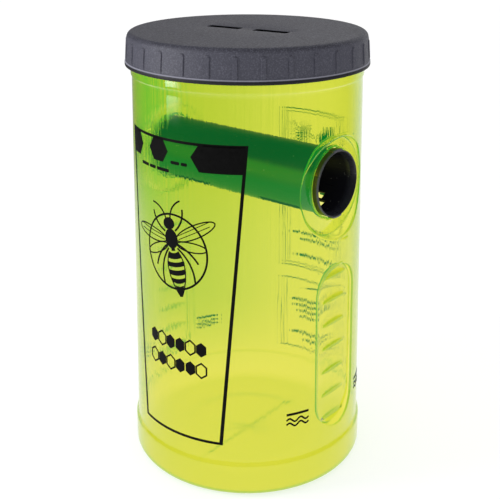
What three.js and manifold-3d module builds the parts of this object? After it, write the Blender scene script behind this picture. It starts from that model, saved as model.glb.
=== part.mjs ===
// Wasp trap: a clear blow-moulded jar with a tunnel tube through it and a screw lid.
// Millimetres, +Z up. The origin is the centre of the base, and the tunnel runs along X.
import * as THREE from "three";
import { mergeVertices } from "three/addons/utils/BufferGeometryUtils.js";
import Module from "manifold-3d";

const wasm = await Module();
wasm.setup();

// ---------- driving dimensions ----------

const TOTAL_HEIGHT = 195;
const WALL = 1.2;
const GAP = 0.3;
const ROUND_SEGMENTS = 60;
const BORE_SEGMENTS = 40;

// Jar: body cylinder, foot band, neck ring and threaded neck.
const BODY_RADIUS = 51.76;
const FOOT_RADIUS = 52.66;
const FOOT_HEIGHT = 16.35;
const FOOT_STEP = 2.5;
const FOOT_CORNER = 4;
const BASE_THICKNESS = 1.6;
const BASE_DISH_RADIUS = 36;
const BASE_DISH_DEPTH = 1.2;
const NECK_RING_RADIUS = 52.3;
const NECK_RING_BOTTOM = 175.5;
const NECK_RADIUS = 49.4;

// Lid: a flat cap with a ribbed skirt and a rim bead.
const LID_HEIGHT = 14.7;
const LID_TOP_RADIUS = 53.8;
const LID_FOOT_RADIUS = 54.46;
const LID_EDGE_ROUND = 2.5;
const LID_BEAD_RADIUS = 54.81;
const LID_BEAD_HEIGHT = 2;
const LID_WALL = 2;
const LID_RIBS = 30;
const LID_RIB_WIDTH = 2;
const LID_RIB_PROUD = 0.45;
const LID_RIB_TURN = THREE.MathUtils.degToRad(4.7);
const STRAP_SLOT_LENGTH = 16.8;
const STRAP_SLOT_WIDTH = 4.4;
const STRAP_SLOT_SPACING = 7.6;
const STRAP_SLOT_CORNER = 0.6;
const STRAP_SLOT_TURN = THREE.MathUtils.degToRad(8);

// Screw thread, right-handed, shared by the neck and the lid.
const THREAD_PITCH = 6;
const THREAD_WIDTH = 2;
const THREAD_SINK = 0.4;
const NECK_THREAD_TURNS = 1.1;
const NECK_THREAD_CREST = 51;
const LID_THREAD_TURNS = 1;
const LID_THREAD_CREST = 50.2;

// Seal ring between the lid and the mouth of the jar.
const SEAL_THICKNESS = 1.4;
const SEAL_WIDTH = 5;

// Tunnel: a tube through both sides of the jar, with a key lug above and below each mouth.
const TUNNEL_HEIGHT = 133.3;
const TUBE_RADIUS = 14.5;
const TUBE_WALL = 1.4;
const TUBE_END = 50.2;
const MOUTH_BORE = 13.9;
const MOUTH_FLARE = 2.5;
const KEY_WIDTH = 6;
const KEY_PROUD = 0.6;
const KEY_ROOT = 0.5;
const KEY_LENGTH = 3;
const DROP_START = 15;
const DROP_MIDDLE_END = 39.4;
const DROP_SIDE_END = 36.8;
const DROP_BAR_ANGLE = THREE.MathUtils.degToRad(30.5);
const DROP_BAR_WIDTH = 1;
const DROP_HALF_ANGLE = THREE.MathUtils.degToRad(46);

// Seats for the tunnel mouths, moulded into the sides of the jar.
const SEAT_HEIGHT = 132;
const SEAT_RADIUS = 21.8;
const SEAT_FACE = 46.6;
const COLLAR_RADIUS = 16;
const COLLAR_FACE = 47.7;

// Finger grips below the tunnel mouths: flat-faced hollows with round ends.
const GRIP_RADIUS = 12.6;
const GRIP_BOTTOM = 23.4;
const GRIP_TOP = 97.2;
const GRIP_FACE = 48.8;
const GRIP_RIDGES = 7;
const GRIP_RIDGE_FIRST = 27;
const GRIP_RIDGE_SPACING = 10.8;
const GRIP_RIDGE_LENGTH = 15;
const GRIP_RIDGE_HEIGHT = 1.6;
const GRIP_RIDGE_PROUD = 0.9;

// ---------- derived dimensions ----------

const LID_BOTTOM = TOTAL_HEIGHT - LID_HEIGHT;
const LID_CEILING = TOTAL_HEIGHT - LID_WALL;
const LID_BORE = LID_FOOT_RADIUS - LID_WALL - 0.5;
const SHOULDER = LID_BOTTOM - GAP;
const SEAL_TOP = LID_CEILING - GAP;
const MOUTH_RIM = SEAL_TOP - SEAL_THICKNESS - GAP;
const NECK_BORE = NECK_RADIUS - 1.5;
const TUBE_BORE = TUBE_RADIUS - TUBE_WALL;
const NECK_THREAD_START = SHOULDER + 2.4;
const REACH = 70;

// ---------- solids ----------

// Turns a closed geometry into a solid that can be joined and cut.
function solid(geometry) {
  const bare = geometry.clone();
  bare.deleteAttribute("normal");
  bare.deleteAttribute("uv");
  const merged = mergeVertices(bare, 1e-4);
  const mesh = new wasm.Mesh({
    numProp: 3,
    vertProperties: merged.attributes.position.array,
    triVerts: new Uint32Array(merged.index.array),
  });
  return new wasm.Manifold(mesh);
}

// Turns a solid back into a named mesh.
function named(name, shape, material) {
  const source = shape.getMesh();
  const geometry = new THREE.BufferGeometry();
  const positions = new THREE.BufferAttribute(new Float32Array(source.vertProperties), 3);
  geometry.setAttribute("position", positions);
  geometry.setIndex(new THREE.BufferAttribute(new Uint32Array(source.triVerts), 1));
  geometry.computeVertexNormals();
  const mesh = new THREE.Mesh(geometry, material);
  mesh.name = name;
  return mesh;
}

const point = (x, y) => new THREE.Vector2(x, y);

// A quarter-round corner of a profile, from one angle to another about a centre.
function roundedCorner(centreR, centreZ, radius, fromDegrees, toDegrees) {
  const steps = 4;
  const points = [];
  for (let i = 0; i <= steps; i += 1) {
    const angle = THREE.MathUtils.degToRad(fromDegrees + ((toDegrees - fromDegrees) * i) / steps);
    points.push(point(centreR + radius * Math.cos(angle), centreZ + radius * Math.sin(angle)));
  }
  return points;
}

// A solid of revolution about Z from a profile of radius and height.
function turned(profile) {
  const closesOnAxis = profile[0].x === 0 && profile[profile.length - 1].x === 0;
  const outline = closesOnAxis ? profile : [...profile, profile[0].clone()];
  const geometry = new THREE.LatheGeometry(outline, ROUND_SEGMENTS);
  geometry.rotateX(Math.PI / 2);
  return solid(geometry);
}

// A round bar along X, from one station to another at a height.
function barAlongX(radius, fromX, toX, height = TUNNEL_HEIGHT) {
  const geometry = new THREE.CylinderGeometry(radius, radius, toX - fromX, BORE_SEGMENTS);
  geometry.rotateZ(-Math.PI / 2);
  geometry.translate((fromX + toX) / 2, 0, height);
  return solid(geometry);
}

function box(sizeX, sizeY, sizeZ, x, y, z) {
  const geometry = new THREE.BoxGeometry(sizeX, sizeY, sizeZ);
  geometry.translate(x, y, z);
  return solid(geometry);
}

// The same cut or boss on both sides of the trap: the shape and its half-turned twin.
function onBothSides(shape) {
  return shape.add(shape.rotate([0, 0, 180]));
}

// A helical ridge with a trapezoid section and tapered ends, wound upwards anticlockwise.
function threadRidge(rootRadius, crestRadius, startZ, turns, startTurn) {
  const steps = Math.round(turns * ROUND_SEGMENTS);
  const geometry = new THREE.BoxGeometry(1, 1, 1, steps, 1, 1);
  const places = geometry.attributes.position;
  for (let i = 0; i < places.count; i += 1) {
    const along = places.getX(i) + 0.5;
    const isCrest = places.getY(i) * Math.sign(rootRadius - crestRadius) > 0;
    const toEnd = Math.min(along, 1 - along) * turns * 12;
    const fullness = Math.min(1, 0.3 + toEnd);
    const crest = rootRadius + (crestRadius - rootRadius) * fullness;
    const radius = isCrest ? crest : rootRadius;
    const width = THREAD_WIDTH * (isCrest ? 0.55 : 1);
    const angle = (startTurn + along * turns) * 2 * Math.PI;
    const height = startZ + along * turns * THREAD_PITCH + places.getZ(i) * width;
    places.setXYZ(i, radius * Math.cos(angle), radius * Math.sin(angle), height);
  }
  return solid(geometry);
}

// ---------- jar ----------

function jarOutside() {
  const stepBottom = FOOT_HEIGHT - FOOT_STEP;
  return turned([
    point(0, BASE_DISH_DEPTH),
    point(BASE_DISH_RADIUS - 3, BASE_DISH_DEPTH),
    point(BASE_DISH_RADIUS, 0),
    ...roundedCorner(FOOT_RADIUS - FOOT_CORNER, FOOT_CORNER, FOOT_CORNER, -90, 0),
    point(FOOT_RADIUS, stepBottom),
    point(FOOT_RADIUS - 0.25, stepBottom + 0.8),
    point(BODY_RADIUS, FOOT_HEIGHT),
    point(BODY_RADIUS, NECK_RING_BOTTOM),
    point(NECK_RING_RADIUS, NECK_RING_BOTTOM + 0.6),
    point(NECK_RING_RADIUS, SHOULDER - 0.6),
    point(NECK_RING_RADIUS - 0.6, SHOULDER),
    point(NECK_RADIUS, SHOULDER),
    point(NECK_RADIUS, MOUTH_RIM),
    point(0, MOUTH_RIM),
  ]);
}

function jarCavity() {
  const floor = BASE_DISH_DEPTH + BASE_THICKNESS;
  const stepBottom = FOOT_HEIGHT - FOOT_STEP;
  return turned([
    point(0, floor),
    point(BASE_DISH_RADIUS - 2, floor),
    point(BASE_DISH_RADIUS + 1, BASE_THICKNESS),
    ...roundedCorner(FOOT_RADIUS - FOOT_CORNER, FOOT_CORNER + 0.4, FOOT_CORNER - WALL, -90, 0),
    point(FOOT_RADIUS - WALL, stepBottom),
    point(BODY_RADIUS - WALL, FOOT_HEIGHT),
    point(BODY_RADIUS - WALL, SHOULDER - 3),
    point(NECK_BORE, SHOULDER - 0.4),
    point(NECK_BORE, MOUTH_RIM + 5),
    point(0, MOUTH_RIM + 5),
  ]);
}

// The round-ended outline of a finger grip, extruded along X from a face to outside the jar.
function gripBlock(face, margin) {
  const radius = GRIP_RADIUS + margin;
  const outline = new THREE.Shape();
  outline.absarc(0, GRIP_TOP - GRIP_RADIUS, radius, 0, Math.PI, false);
  outline.absarc(0, GRIP_BOTTOM + GRIP_RADIUS, radius, Math.PI, 2 * Math.PI, false);
  const geometry = new THREE.ExtrudeGeometry(outline, {
    depth: REACH - face,
    bevelEnabled: false,
    curveSegments: 14,
  });
  geometry.rotateX(Math.PI / 2);
  geometry.rotateZ(Math.PI / 2);
  geometry.translate(face, 0, 0);
  return solid(geometry);
}

// Horizontal ridges across the face of a finger grip.
function gripRidges() {
  const depth = GRIP_RIDGE_PROUD + WALL / 2;
  const x = GRIP_FACE + GRIP_RIDGE_PROUD - depth / 2;
  let ridges = null;
  for (let i = 0; i < GRIP_RIDGES; i += 1) {
    const height = GRIP_RIDGE_FIRST + GRIP_RIDGE_SPACING * i;
    const ridge = box(depth, GRIP_RIDGE_LENGTH, GRIP_RIDGE_HEIGHT, x, 0, height);
    ridges = ridges ? ridges.add(ridge) : ridge;
  }
  return ridges;
}

// Keyways above and below a hole, a running gap wider than the key lugs.
function keyways(fromX, toX) {
  const height = 2 * (TUBE_RADIUS + KEY_PROUD + GAP);
  return box(toX - fromX, KEY_WIDTH + 2 * GAP, height, (fromX + toX) / 2, 0, TUNNEL_HEIGHT);
}

function jar() {
  const seatInside = SEAT_FACE - WALL;
  const seatBacking = barAlongX(SEAT_RADIUS + WALL, seatInside, REACH, SEAT_HEIGHT);
  const gripBacking = gripBlock(GRIP_FACE - WALL, WALL);
  const cavity = jarCavity().subtract(onBothSides(seatBacking.add(gripBacking)));
  const seatCut = barAlongX(SEAT_RADIUS, SEAT_FACE, REACH, SEAT_HEIGHT);
  const gripCut = gripBlock(GRIP_FACE, 0);
  const shell = jarOutside().subtract(cavity).subtract(onBothSides(seatCut.add(gripCut)));
  const collar = barAlongX(COLLAR_RADIUS, seatInside, COLLAR_FACE);
  const bosses = onBothSides(collar.add(gripRidges()));
  const hole = barAlongX(TUBE_RADIUS + GAP, -REACH, REACH);
  const thread = threadRidge(
    NECK_RADIUS - THREAD_SINK,
    NECK_THREAD_CREST,
    NECK_THREAD_START,
    NECK_THREAD_TURNS,
    0,
  );
  return shell.add(bosses).subtract(hole).subtract(keyways(-REACH, REACH)).add(thread);
}

// ---------- lid ----------

function lidShell() {
  const edge = roundedCorner(
    LID_TOP_RADIUS - LID_EDGE_ROUND,
    TOTAL_HEIGHT - LID_EDGE_ROUND,
    LID_EDGE_ROUND,
    0,
    90,
  );
  const beadTop = LID_BOTTOM + LID_BEAD_HEIGHT;
  return turned([
    point(0, LID_CEILING),
    point(LID_BORE - 1, LID_CEILING),
    point(LID_BORE, LID_CEILING - 1),
    point(LID_BORE, LID_BOTTOM),
    point(LID_FOOT_RADIUS, LID_BOTTOM),
    point(LID_BEAD_RADIUS, LID_BOTTOM + 0.4),
    point(LID_BEAD_RADIUS, beadTop - 0.4),
    point(LID_FOOT_RADIUS - 0.1, beadTop),
    ...edge,
    point(0, TOTAL_HEIGHT),
  ]);
}

// Upright grip ribs around the skirt, from the bead up to the rounded edge.
function lidRibs() {
  const bottom = LID_BOTTOM + LID_BEAD_HEIGHT - 0.4;
  const top = TOTAL_HEIGHT - LID_EDGE_ROUND - 0.6;
  const depth = 2;
  const lean = Math.atan2(LID_FOOT_RADIUS - LID_TOP_RADIUS, LID_HEIGHT);
  const midRadius = (LID_FOOT_RADIUS + LID_TOP_RADIUS) / 2 + LID_RIB_PROUD - depth / 2;
  let ribs = null;
  for (let i = 0; i < LID_RIBS; i += 1) {
    const geometry = new THREE.BoxGeometry(depth, LID_RIB_WIDTH, top - bottom);
    geometry.rotateY(-lean);
    geometry.translate(midRadius, 0, (top + bottom) / 2);
    geometry.rotateZ(LID_RIB_TURN + (i * 2 * Math.PI) / LID_RIBS);
    const rib = solid(geometry);
    ribs = ribs ? ribs.add(rib) : rib;
  }
  return ribs;
}

// Two oblong slots in line through the top, either side of the middle, for a hanging strap.
function strapSlots() {
  const corner = STRAP_SLOT_CORNER;
  const near = STRAP_SLOT_SPACING / 2 + corner;
  const far = STRAP_SLOT_SPACING / 2 + STRAP_SLOT_LENGTH - corner;
  const side = STRAP_SLOT_WIDTH / 2 - corner;
  const quarter = Math.PI / 2;
  const outline = new THREE.Shape();
  outline.absarc(far, side, corner, 0, quarter, false);
  outline.absarc(near, side, corner, quarter, 2 * quarter, false);
  outline.absarc(near, -side, corner, 2 * quarter, 3 * quarter, false);
  outline.absarc(far, -side, corner, 3 * quarter, 4 * quarter, false);
  const geometry = new THREE.ExtrudeGeometry(outline, {
    depth: 10,
    bevelEnabled: false,
    curveSegments: 2,
  });
  geometry.translate(0, 0, LID_CEILING - 5);
  geometry.rotateZ(STRAP_SLOT_TURN);
  return onBothSides(solid(geometry));
}

function lid() {
  const thread = threadRidge(
    LID_BORE + THREAD_SINK,
    LID_THREAD_CREST,
    NECK_THREAD_START,
    LID_THREAD_TURNS,
    0.5,
  );
  return lidShell().add(lidRibs()).add(thread).subtract(strapSlots());
}

// ---------- seal ring ----------

function sealRing() {
  const outer = NECK_RADIUS - GAP;
  return turned([
    point(outer - SEAL_WIDTH, SEAL_TOP - SEAL_THICKNESS),
    point(outer, SEAL_TOP - SEAL_THICKNESS),
    point(outer, SEAL_TOP),
    point(outer - SEAL_WIDTH, SEAL_TOP),
  ]);
}

// ---------- tunnel tube ----------

// A wedge of the tube's underside between two angles from straight down, as a cutting block.
function undersideWedge(fromAngle, toAngle, endX) {
  const reach = TUBE_RADIUS * 1.4;
  const outline = new THREE.Shape();
  const steps = 4;
  outline.moveTo(0, 0);
  for (let i = 0; i <= steps; i += 1) {
    const angle = -Math.PI / 2 + fromAngle + ((toAngle - fromAngle) * i) / steps;
    outline.lineTo(reach * Math.cos(angle), reach * Math.sin(angle));
  }
  outline.closePath();
  const geometry = new THREE.ExtrudeGeometry(outline, {
    depth: endX - DROP_START,
    bevelEnabled: false,
  });
  geometry.rotateX(Math.PI / 2);
  geometry.rotateZ(Math.PI / 2);
  geometry.translate(DROP_START, 0, TUNNEL_HEIGHT);
  return solid(geometry);
}

// Drop openings near each mouth: one straight down and one each side of it, with bars between.
function dropOpenings() {
  const halfBar = DROP_BAR_WIDTH / 2 / TUBE_RADIUS;
  const middleHalfAngle = DROP_BAR_ANGLE - halfBar;
  const middle = undersideWedge(-middleHalfAngle, middleHalfAngle, DROP_MIDDLE_END);
  const right = undersideWedge(DROP_BAR_ANGLE + halfBar, DROP_HALF_ANGLE, DROP_SIDE_END);
  const left = undersideWedge(-DROP_HALF_ANGLE, -DROP_BAR_ANGLE - halfBar, DROP_SIDE_END);
  return onBothSides(middle.add(right).add(left));
}

// Key lugs above and below one mouth, rooted in the tube's wall, for the keyways of the jar.
function keyLugs() {
  const root = TUBE_RADIUS - KEY_ROOT;
  const crest = TUBE_RADIUS + KEY_PROUD;
  const middle = (root + crest) / 2;
  const x = TUBE_END - KEY_LENGTH / 2;
  const upper = box(KEY_LENGTH, KEY_WIDTH, crest - root, x, 0, TUNNEL_HEIGHT + middle);
  const lower = box(KEY_LENGTH, KEY_WIDTH, crest - root, x, 0, TUNNEL_HEIGHT - middle);
  return upper.add(lower);
}

// The plain tube, whose bore flares out to a thin lip at each mouth.
function tubeWall() {
  const plainEnd = TUBE_END - MOUTH_FLARE;
  const upright = turned([
    point(TUBE_BORE, -plainEnd),
    point(MOUTH_BORE, -TUBE_END),
    point(TUBE_RADIUS, -TUBE_END),
    point(TUBE_RADIUS, TUBE_END),
    point(MOUTH_BORE, TUBE_END),
    point(TUBE_BORE, plainEnd),
  ]);
  return upright.rotate([0, 90, 0]).translate([0, 0, TUNNEL_HEIGHT]);
}

function tunnelTube() {
  return tubeWall().add(onBothSides(keyLugs())).subtract(dropOpenings());
}

// ---------- materials ----------

const clearYellowGreen = new THREE.MeshStandardMaterial({
  color: 0xc8dc3c,
  roughness: 0.12,
  metalness: 0,
  transparent: true,
  opacity: 0.55,
});
const blackLidPlastic = new THREE.MeshStandardMaterial({
  color: 0x3c3f46,
  roughness: 0.6,
  metalness: 0,
});
const blackTubePlastic = new THREE.MeshStandardMaterial({
  color: 0x16171c,
  roughness: 0.35,
  metalness: 0,
});
const paleFoam = new THREE.MeshStandardMaterial({
  color: 0xdcdcd2,
  roughness: 0.85,
  metalness: 0,
});

// ---------- assembly ----------

const trap = new THREE.Group();
trap.add(named("jar", jar(), clearYellowGreen));
trap.add(named("tunnel_tube", tunnelTube(), blackTubePlastic));
trap.add(named("lid_seal_ring", sealRing(), paleFoam));
trap.add(named("screw_lid", lid(), blackLidPlastic));

export default trap;
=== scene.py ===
"""The looks of the wasp trap: a clear tinted jar, a black tunnel tube through it and a black screw lid.

Lengths are in millimetres until a mesh is made, and the frame's own boxes give the driving sizes.
Azimuths of the printed artwork are degrees from the trap's front (-Y) towards the tunnel mouth (+X).
"""

import math

import bmesh
import bpy
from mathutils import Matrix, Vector


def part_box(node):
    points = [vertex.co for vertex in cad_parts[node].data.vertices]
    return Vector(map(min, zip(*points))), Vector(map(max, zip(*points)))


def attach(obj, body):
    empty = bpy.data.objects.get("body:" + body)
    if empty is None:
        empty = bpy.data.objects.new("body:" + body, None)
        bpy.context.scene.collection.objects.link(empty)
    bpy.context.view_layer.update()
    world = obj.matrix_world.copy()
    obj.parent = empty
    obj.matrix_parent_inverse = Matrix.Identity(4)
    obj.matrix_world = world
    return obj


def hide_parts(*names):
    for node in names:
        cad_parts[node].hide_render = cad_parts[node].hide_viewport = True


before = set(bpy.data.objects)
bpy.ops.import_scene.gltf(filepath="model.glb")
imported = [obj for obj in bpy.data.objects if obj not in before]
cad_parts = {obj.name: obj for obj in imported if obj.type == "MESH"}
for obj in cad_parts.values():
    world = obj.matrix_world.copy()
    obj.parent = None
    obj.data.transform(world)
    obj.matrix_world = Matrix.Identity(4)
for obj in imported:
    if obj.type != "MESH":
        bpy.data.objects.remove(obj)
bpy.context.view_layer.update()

# ---------- sizes from the frame ----------

METRE = 1000.0
jar_box = [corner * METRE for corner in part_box("jar")]
lid_box = [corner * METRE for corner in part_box("screw_lid")]
tube_box = [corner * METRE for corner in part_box("tunnel_tube")]
seal_box = [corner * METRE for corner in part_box("lid_seal_ring")]

LID_TOP = lid_box[1].z
LID_BOTTOM = lid_box[0].z
LID_BEAD_RADIUS = lid_box[1].x
MOUTH_RIM = jar_box[1].z
FOOT_RADIUS = jar_box[1].x
TUBE_END = tube_box[1].x
TUBE_RADIUS = tube_box[1].y
TUNNEL_Z = (tube_box[0].z + tube_box[1].z) / 2
KEY_PROUD = (tube_box[1].z - tube_box[0].z) / 2 - TUBE_RADIUS

# ---------- sizes of the jar ----------

WALL = 0.6
BODY_RADIUS = FOOT_RADIUS - 0.9
FOOT_CORNER = 4.0
STEP_BOTTOM = 13.85
STEP_TOP = 16.35
DISH_RADIUS = 36.0
DISH_DEPTH = 1.2
DISH_SLOPE = 9.0
BASE_RIDGE = 0.2
FLOOR_THICKNESS = 0.8
NECK_RING_RADIUS = BODY_RADIUS + 0.54
NECK_RING_BOTTOM = 175.5
SHOULDER_Z = LID_BOTTOM - 0.3
NECK_RADIUS = 49.4
NECK_WALL = 0.8
SEAT_Z = TUNNEL_Z - 1.3
SEAT_RADIUS = 21.7
SEAT_FACE = 46.6
SEAT_STEPS = 180
CLEARED = 2.2
EDGE_PINCH = 0.25
EDGE_SPREAD = 0.14
COLLAR_RADIUS = 15.4
COLLAR_FACE = 47.7
HOLE_RADIUS = TUBE_RADIUS + 0.3
GRIP_RADIUS = 12.6
GRIP_BOTTOM = 23.4
GRIP_TOP = 97.2
GRIP_FACE = 48.8
GRIP_RIDGES = [27.0 + 10.8 * i for i in range(7)]
GRIP_RIDGE_HALF_LENGTH = 8.3
GRIP_RIDGE_PROUD = 0.9
GRIP_RIDGE_RISE = 2.6
SEAM_PROUD = 0.035
THREAD_PITCH = 6.0
THREAD_START = SHOULDER_Z + 2.4
NECK_THREAD_LAPS = 1.1
NECK_THREAD_HEIGHT = 1.6
RING_RISE = 0.9
RING_CORNER = 0.6
MOUTH_BEAD = 0.75
FINE_ROWS_FROM = 19.5
FINE_ROWS_TO = 158.0


# ---------- the camera's place and the studio's brightness ----------

CAMERA_AZIMUTH = 40.0
CAMERA_AWAY = (-math.sin(math.radians(CAMERA_AZIMUTH)), math.cos(math.radians(CAMERA_AZIMUTH)), 0.0)
CAMERA_RIGHT = (math.cos(math.radians(CAMERA_AZIMUTH)), math.sin(math.radians(CAMERA_AZIMUTH)), 0.0)
CAMERA_DISTANCE = 422.6
CAMERA_ABOVE_LID = 61.3
REFLECTED_LEFT = 0.12
REFLECTED_RIGHT = 1.0
REFLECTED_FRONT = 0.05
TRAPPED_LIGHT = 0.8
THROUGH_LOW = (1.31, 1.1, 1.1, 1)
THROUGH_MIDDLE = (1.20, 1.1, 1.1, 1)
THROUGH_HIGH = (0.81, 0.84, 0.35, 1)
THROUGH_LEFT = (0.31, 0.76, 0.42, 1)
STUDIO_FILL = 0.8

# ---------- looks of the plastics, the foam and the ink ----------

JAR_IOR = 1.46
STREAKS_PER_RADIAN = 36.0
STREAK_DEPTH = 0.00010
JAR_ABSORPTION = 3000.0
JAR_ABSORPTION_COLOUR = (0.870, 0.833, 0.218, 1)
JAR_GLOW = 200.0
JAR_GLOW_COLOUR = (0.0, 1.0, 0.25, 1)

LID_DARK = (0.030, 0.030, 0.045, 1)
LID_PALE = (0.048, 0.048, 0.068, 1)
# Painted light: the lid's steep faces are painted paler than its top.
LID_SIDE_PAINTED_LIGHT = (0.061, 0.061, 0.084, 1)
LID_GRAIN = (0.115, 0.115, 0.150, 1)
# Painted shade for creases and the strap slots.
LID_PAINTED_SHADE = (0.002, 0.002, 0.003, 1)
# Painted shade under the rim bead and a painted highlight along its upper edge.
BEAD_PAINTED_SHADE = (0.010, 0.010, 0.014, 1)
BEAD_PAINTED_HIGHLIGHT = (0.26, 0.26, 0.32, 1)
LID_SPECULAR = 0.42

TUBE_BLACK = (0.007, 0.007, 0.010, 1)
# Painted light inside the tube's mouths, a painted highlight on their outside, and a painted reflection of
# the jar next to the collar.
LIP_INSIDE_PAINTED_LIGHT = (0.012, 0.013, 0.018, 1)
LIP_OUTSIDE_PAINTED_HIGHLIGHT = (0.075, 0.075, 0.095, 1)
PAINTED_JAR_REFLECTION = (0.040, 0.040, 0.008, 1)
DUST = (0.4, 0.42, 0.38, 1)
UNLIT = (0.0, 0.0, 0.0, 1)
GLOW_BELOW = (0.002, 0.125, 0.008, 1)
GLOW_BAND = (0.020, 0.135, 0.0, 1)

FOAM_PORE = (0.66, 0.66, 0.60, 1)
FOAM_SKIN = (0.78, 0.78, 0.72, 1)
INK_THICK = (0.003, 0.003, 0.003, 1)
INK_THIN = (0.006, 0.006, 0.006, 1)
WHITE = (1, 1, 1, 1)


# ---------- mesh helpers ----------


def ramp(value, low, high):
    """A smooth step from 0 at low to 1 at high; low may be the larger of the two."""
    t = min(1.0, max(0.0, (value - low) / (high - low)))
    return t * t * (3 - 2 * t)


def arc(centre_r, centre_z, radius, start, end, steps):
    """Points of a circular arc in a profile, from one angle to another in degrees."""
    points = []
    for i in range(steps + 1):
        angle = math.radians(start + (end - start) * i / steps)
        points.append((centre_r + radius * math.cos(angle), centre_z + radius * math.sin(angle)))
    return points


def full_turn(steps):
    """Evenly spaced angles in radians, once round."""
    return [2 * math.pi * i / steps for i in range(steps)]


def around_axis(radius, azimuth, z):
    """A place at a radius and height, for an azimuth in radians from +X."""
    return (radius * math.cos(azimuth), radius * math.sin(azimuth), z)


def mark(rings, layer, value):
    """Writes a value on every vertex of some rings."""
    for ring in rings:
        for vert in ring:
            vert[layer] = value


def profile_rows(points, shape="round"):
    """Rows of a turned profile, through points of radius and height, that are shaped in one way."""
    return [(r, z, shape) for r, z in points]


def upright_rows(radius, heights, shape="round"):
    """Rows of a turned profile at one radius."""
    return [(radius, z, shape) for z in heights]


def eased_rows(start_radius, end_radius, start, end, step):
    """Rows that run smoothly from one radius to another between two heights."""
    change = end_radius - start_radius
    return [(start_radius + change * ramp(z, start, end), z, "round") for z in spread(start, end, step)]


def thread_rib(along, z, laps, height):
    """Height of a helical rib that is so many laps long, at a distance along it in laps."""
    fullness = ramp(along, 0.0, 0.06) * ramp(along, laps, laps - 0.06)
    centre = THREAD_START + along * THREAD_PITCH
    return height * fullness * ramp(abs(z - centre), 1.0, 0.45)


def spread(start, end, step):
    """Evenly spaced values from start up to, and without, end."""
    count = max(1, round(abs(end - start) / step))
    return [start + (end - start) * i / count for i in range(count)]


def add_rings(bm, rings, closed_loop=False):
    """Joins rings of points by quads; rings of one point are poles. Returns the rings of vertices."""
    made = [[bm.verts.new(Vector(p) / METRE) for p in ring] for ring in rings]
    pairs = list(zip(made, made[1:]))
    if closed_loop:
        pairs.append((made[-1], made[0]))
    for lower, upper in pairs:
        count = max(len(lower), len(upper))
        for i in range(count):
            j = (i + 1) % count
            corners = [lower[i % len(lower)], lower[j % len(lower)]]
            corners += [upper[j % len(upper)], upper[i % len(upper)]]
            bm.faces.new(list(dict.fromkeys(corners)))
    return made


def new_object(name, data):
    """A new object in the scene."""
    made = bpy.data.objects.new(name, data)
    bpy.context.scene.collection.objects.link(made)
    return made


def finish_mesh(bm, name, material, body, sharp_degrees=40, replaces=None):
    """Turns a bmesh into a smooth-shaded piece that rides on a body, and may replace a CAD node."""
    bmesh.ops.recalc_face_normals(bm, faces=bm.faces)
    mesh = bpy.data.meshes.new(name)
    bm.to_mesh(mesh)
    bm.free()
    mesh.shade_smooth()
    mesh.set_sharp_from_angle(angle=math.radians(sharp_degrees))
    mesh.materials.append(material)
    piece = new_object(name, mesh)
    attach(piece, body)
    if replaces:
        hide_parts(replaces)


def fill_flat(bm, loops, normal):
    """Fills the flat area between closed loops of vertices with triangles."""
    edges = []
    for loop in loops:
        for a, b in zip(loop, loop[1:] + loop[:1]):
            edges.append(bm.edges.get((a, b)) or bm.edges.new((a, b)))
    bmesh.ops.triangle_fill(bm, use_beauty=True, use_dissolve=False, edges=edges, normal=normal)


# ---------- flat outlines ----------


def circle(x, y, radius, steps=48):
    """A circle about a centre."""
    return [(x + radius * math.cos(a), y + radius * math.sin(a)) for a in full_turn(steps)]


def oval(x, y, half_width, half_height, tilt=0.0, steps=28):
    """An ellipse about a centre, turned anticlockwise by tilt degrees."""
    turn = math.radians(tilt)
    c, s = math.cos(turn), math.sin(turn)
    points = []
    for angle in full_turn(steps):
        u, v = half_width * math.cos(angle), half_height * math.sin(angle)
        points.append((x + u * c - v * s, y + u * s + v * c))
    return points


def bar(x0, y0, x1, y1):
    """A rectangle between two corners."""
    return [(x0, y0), (x1, y0), (x1, y1), (x0, y1)]


def rounded_bar(x0, y0, x1, y1, radius):
    """A rectangle with round corners."""
    radius = min(radius, (x1 - x0) / 2, (y1 - y0) / 2)
    points = []
    for cx, cy, start in (
        (x1 - radius, y0 + radius, -90),
        (x1 - radius, y1 - radius, 0),
        (x0 + radius, y1 - radius, 90),
        (x0 + radius, y0 + radius, 180),
    ):
        points += arc(cx, cy, radius, start, start + 90, 4)
    return points


def turned_about(points, x, y, degrees):
    """Points turned anticlockwise about a centre."""
    turn = math.radians(degrees)
    c, s = math.cos(turn), math.sin(turn)
    return [(x + (u - x) * c - (v - y) * s, y + (u - x) * s + (v - y) * c) for u, v in points]


def curve_through(start, bend, end, steps=8):
    """A smooth line from start to end, pulled towards bend."""
    points = []
    for i in range(steps + 1):
        t = i / steps
        a, b, c = (1 - t) ** 2, 2 * t * (1 - t), t * t
        points.append((a * start[0] + b * bend[0] + c * end[0], a * start[1] + b * bend[1] + c * end[1]))
    return points


# ---------- directions round the trap ----------


def direction(azimuth):
    """Level direction from the axis, for an azimuth in degrees from the front towards +X."""
    turn = math.radians(azimuth)
    return Vector((math.sin(turn), -math.cos(turn), 0.0))


def camera_place():
    """Where the camera stands, in metres."""
    place = direction(CAMERA_AZIMUTH) * CAMERA_DISTANCE
    place.z = LID_TOP + CAMERA_ABOVE_LID
    return place / METRE


# ---------- material helpers ----------


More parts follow.
